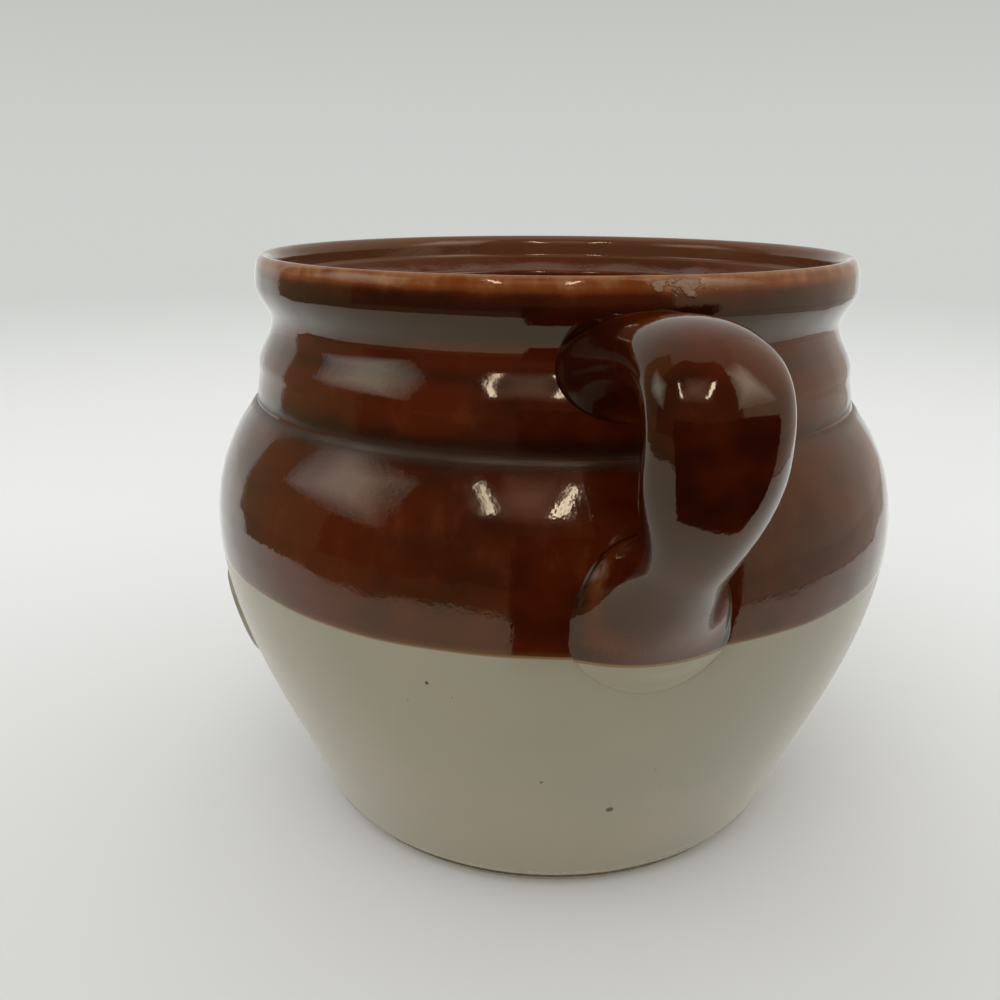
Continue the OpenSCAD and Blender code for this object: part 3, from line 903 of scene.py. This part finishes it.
def set_lamp():
    """A broad soft lamp over the camera, for the shading and the soft shadow behind the pot."""
    lamp = bpy.data.lights.new("broad lamp", "AREA")
    lamp.shape, lamp.size, lamp.energy = "SQUARE", LAMP_SIZE, LAMP_WATTS
    place = bpy.data.objects.new("broad lamp", lamp)
    turn = FACING + LAMP_TURN
    spot = Vector((LAMP_OUT*math.cos(turn), LAMP_OUT*math.sin(turn), LAMP_UP))
    place.location = spot
    place.rotation_euler = (-spot).to_track_quat("-Z", "Y").to_euler()
    place.visible_glossy = False
    bpy.context.scene.collection.objects.link(place)


# ---------------------------------------------------------------- what the glaze mirrors

# Reach of the white sheet under the pot, in metres, by degrees from the camera's direction
SHEET = ((-116, 0.94), (-105, 0.484), (-85, 0.454), (-65, 0.398), (-49, 0.382), (-33, 0.386),
         (-20, 0.358), (-5, 0.324), (59, 0.335), (80, 0.337), (95, 0.358), (114, 0.394), (130, 0.545),
         (143, 0.94))
SHEET_POINTS, CARD_POINTS = 140, 25
SHEET_EDGE, TABLE_REACH, CARD_LIFT = 0.007, 0.95, 0.0015
TABLE_SPLIT = 50      # degrees at which the table passes from its dark side to its light one
TABLE_DARK, TABLE_LIGHT, EDGE_SHADE = (0.26, 0.20, 0.12), (0.66, 0.58, 0.50), (0.002, 0.0015, 0.001)
EYE_Z = 0.1           # height from which the cards' rises are taken
LOWEST = 0.002        # lowest height of a standing card's foot
SOFT_STEPS, SOFT_INSET, SOFT_GAP = 6, 0.07, 0.004     # a soft card's steps, each smaller and nearer

# Cards as (name, reach in metres, sides and rises in degrees, colour, strength, slant in degrees)
CARDS = (
    ("room_left", 0.93, (-115, -72), (-10, 66), (0.30, 0.24, 0.14), 1, 0),
    ("room_front", 0.93, (-72, 42), (-10, 79), (0.110, 0.085, 0.065), 1, 0),
    ("room_right", 0.93, (42, 141), (-10, 66), (0.78, 0.68, 0.58), 1, 0),
    ("photographer", 0.178, (-8, 44), (-36, 15), (0.006, 0.0045, 0.004), 1, 0),
    ("lamp_end_left", 0.76, (-21.5, -19), (34, 50), (1.0, 0.97, 0.95), 20, -10),
    ("lamp_end_right", 0.76, (3.5, 6.5), (35, 51), (1.0, 0.97, 0.95), 20, 8))

# Cards whose edges fade, as (name, reach, sides, rises, colour, share of the colour at the edge)
SOFT_CARDS = (
    ("window", 0.88, (-97, -52), (15, 44), (2.2, 2.4, 2.5), 0.1),
    ("ceiling_lamp", 0.80, (-24, 10), (30, 58), (1.15, 0.85, 0.75), 0.05),
    ("window_right", 0.88, (38, 78), (18, 62), (3.2, 3.2, 3.2), 0.22))


def glow_material(name, colour, strength):
    """A plain light panel."""
    material = bpy.data.materials.new(name)
    material.use_nodes = True
    tree = material.node_tree
    tree.nodes.clear()
    glow = tree.nodes.new("ShaderNodeEmission")
    glow.inputs["Color"].default_value = (*colour, 1)
    glow.inputs["Strength"].default_value = strength
    out = tree.nodes.new("ShaderNodeOutputMaterial")
    tree.links.new(glow.outputs[0], out.inputs["Surface"])
    return material


def reflected_card(name, inner, outer, colour, strength=1.0):
    """A card between two lines of points, given in metres; only the glaze's reflections see it."""
    n = len(inner)
    i = np.arange(n - 1)
    faces = np.stack([i, i + 1, i + n + 1, i + n], 1)
    mesh = bpy.data.meshes.new(name)
    mesh.from_pydata(np.concatenate([inner, outer]).tolist(), [], faces.tolist())
    mesh.materials.append(glow_material(name, colour, strength))
    card = bpy.data.objects.new(name, mesh)
    bpy.context.scene.collection.objects.link(card)
    card.visible_camera = card.visible_diffuse = card.visible_shadow = False


def standing_card(name, reach, sides, rises, colour, strength, slant):
    """A card that stands round the pot: reach in metres, sides in degrees from the camera's direction
    and rises in degrees over EYE_Z in the pot's middle; slant shifts its upper side, in degrees.
    """
    low, high = (np.tan(np.radians(rise))*reach + EYE_Z for rise in rises)

    def line(height, turn):
        around = FACING + np.radians(np.linspace(sides[0], sides[1], CARD_POINTS) + turn)
        return about_axis(reach, around, max(height, LOWEST))
    reflected_card(name, line(low, 0), line(high, slant), colour, strength)


def soft_card(name, reach, sides, rises, colour, low):
    """A bright standing card whose edges fade: cards one within the other, each nearer and brighter,
    from little more than the share low of its colour to all of it.
    """
    for i in range(SOFT_STEPS):
        across, up = (SOFT_INSET*i*(ends[1] - ends[0]) for ends in (sides, rises))
        standing_card(f"{name}_{i + 1}", reach - SOFT_GAP*i, (sides[0] + across, sides[1] - across),
                      (rises[0] + up, rises[1] - up), colour, low + (1 - low)*(i + 1)/SOFT_STEPS, 0)


def set_sheet():
    """The table past the white sheet, darker in the glaze, and the shadow line of the sheet's edge."""
    turns, reaches = zip(*SHEET)
    turn = np.linspace(turns[0], turns[-1], SHEET_POINTS)
    reach = np.interp(turn, turns, reaches)
    around = FACING + np.radians(turn)
    lines = (reach, reach + SHEET_EDGE, TABLE_REACH)
    edge, past, far = (about_axis(r, around, CARD_LIFT) for r in lines)
    right = int(np.searchsorted(turn, TABLE_SPLIT))
    reflected_card("sheet_edge", edge, past, EDGE_SHADE)
    reflected_card("table", past[:right + 1], far[:right + 1], TABLE_DARK)
    reflected_card("table_right", past[right:], far[right:], TABLE_LIGHT)


def set_studio():
    """What the glaze mirrors: sheet, table, room, photographer, windows and a ceiling lamp."""
    set_sheet()
    for card in CARDS:
        standing_card(*card)
    for card in SOFT_CARDS:
        soft_card(*card)


# ---------------------------------------------------------------- the pot

set_camera()
set_world()
make_floor()
set_lamp()
set_studio()

dark = dark_glaze_finish()
pale = pale_glaze_finish()
dress(make_dark_coat(), dark, "dark_glaze", "dark_glaze")
dress(make_pale_coat(), pale, "pale_glaze", "pale_glaze")
dress(make_handle(), handle_finish(), "dark_glaze", "handle")
dress(make_medallion(), pale, "pale_glaze", "blank_medallion")
dress(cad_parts["stoneware_body"], clay_finish())

bpy.context.scene.view_settings.view_transform = "Standard"
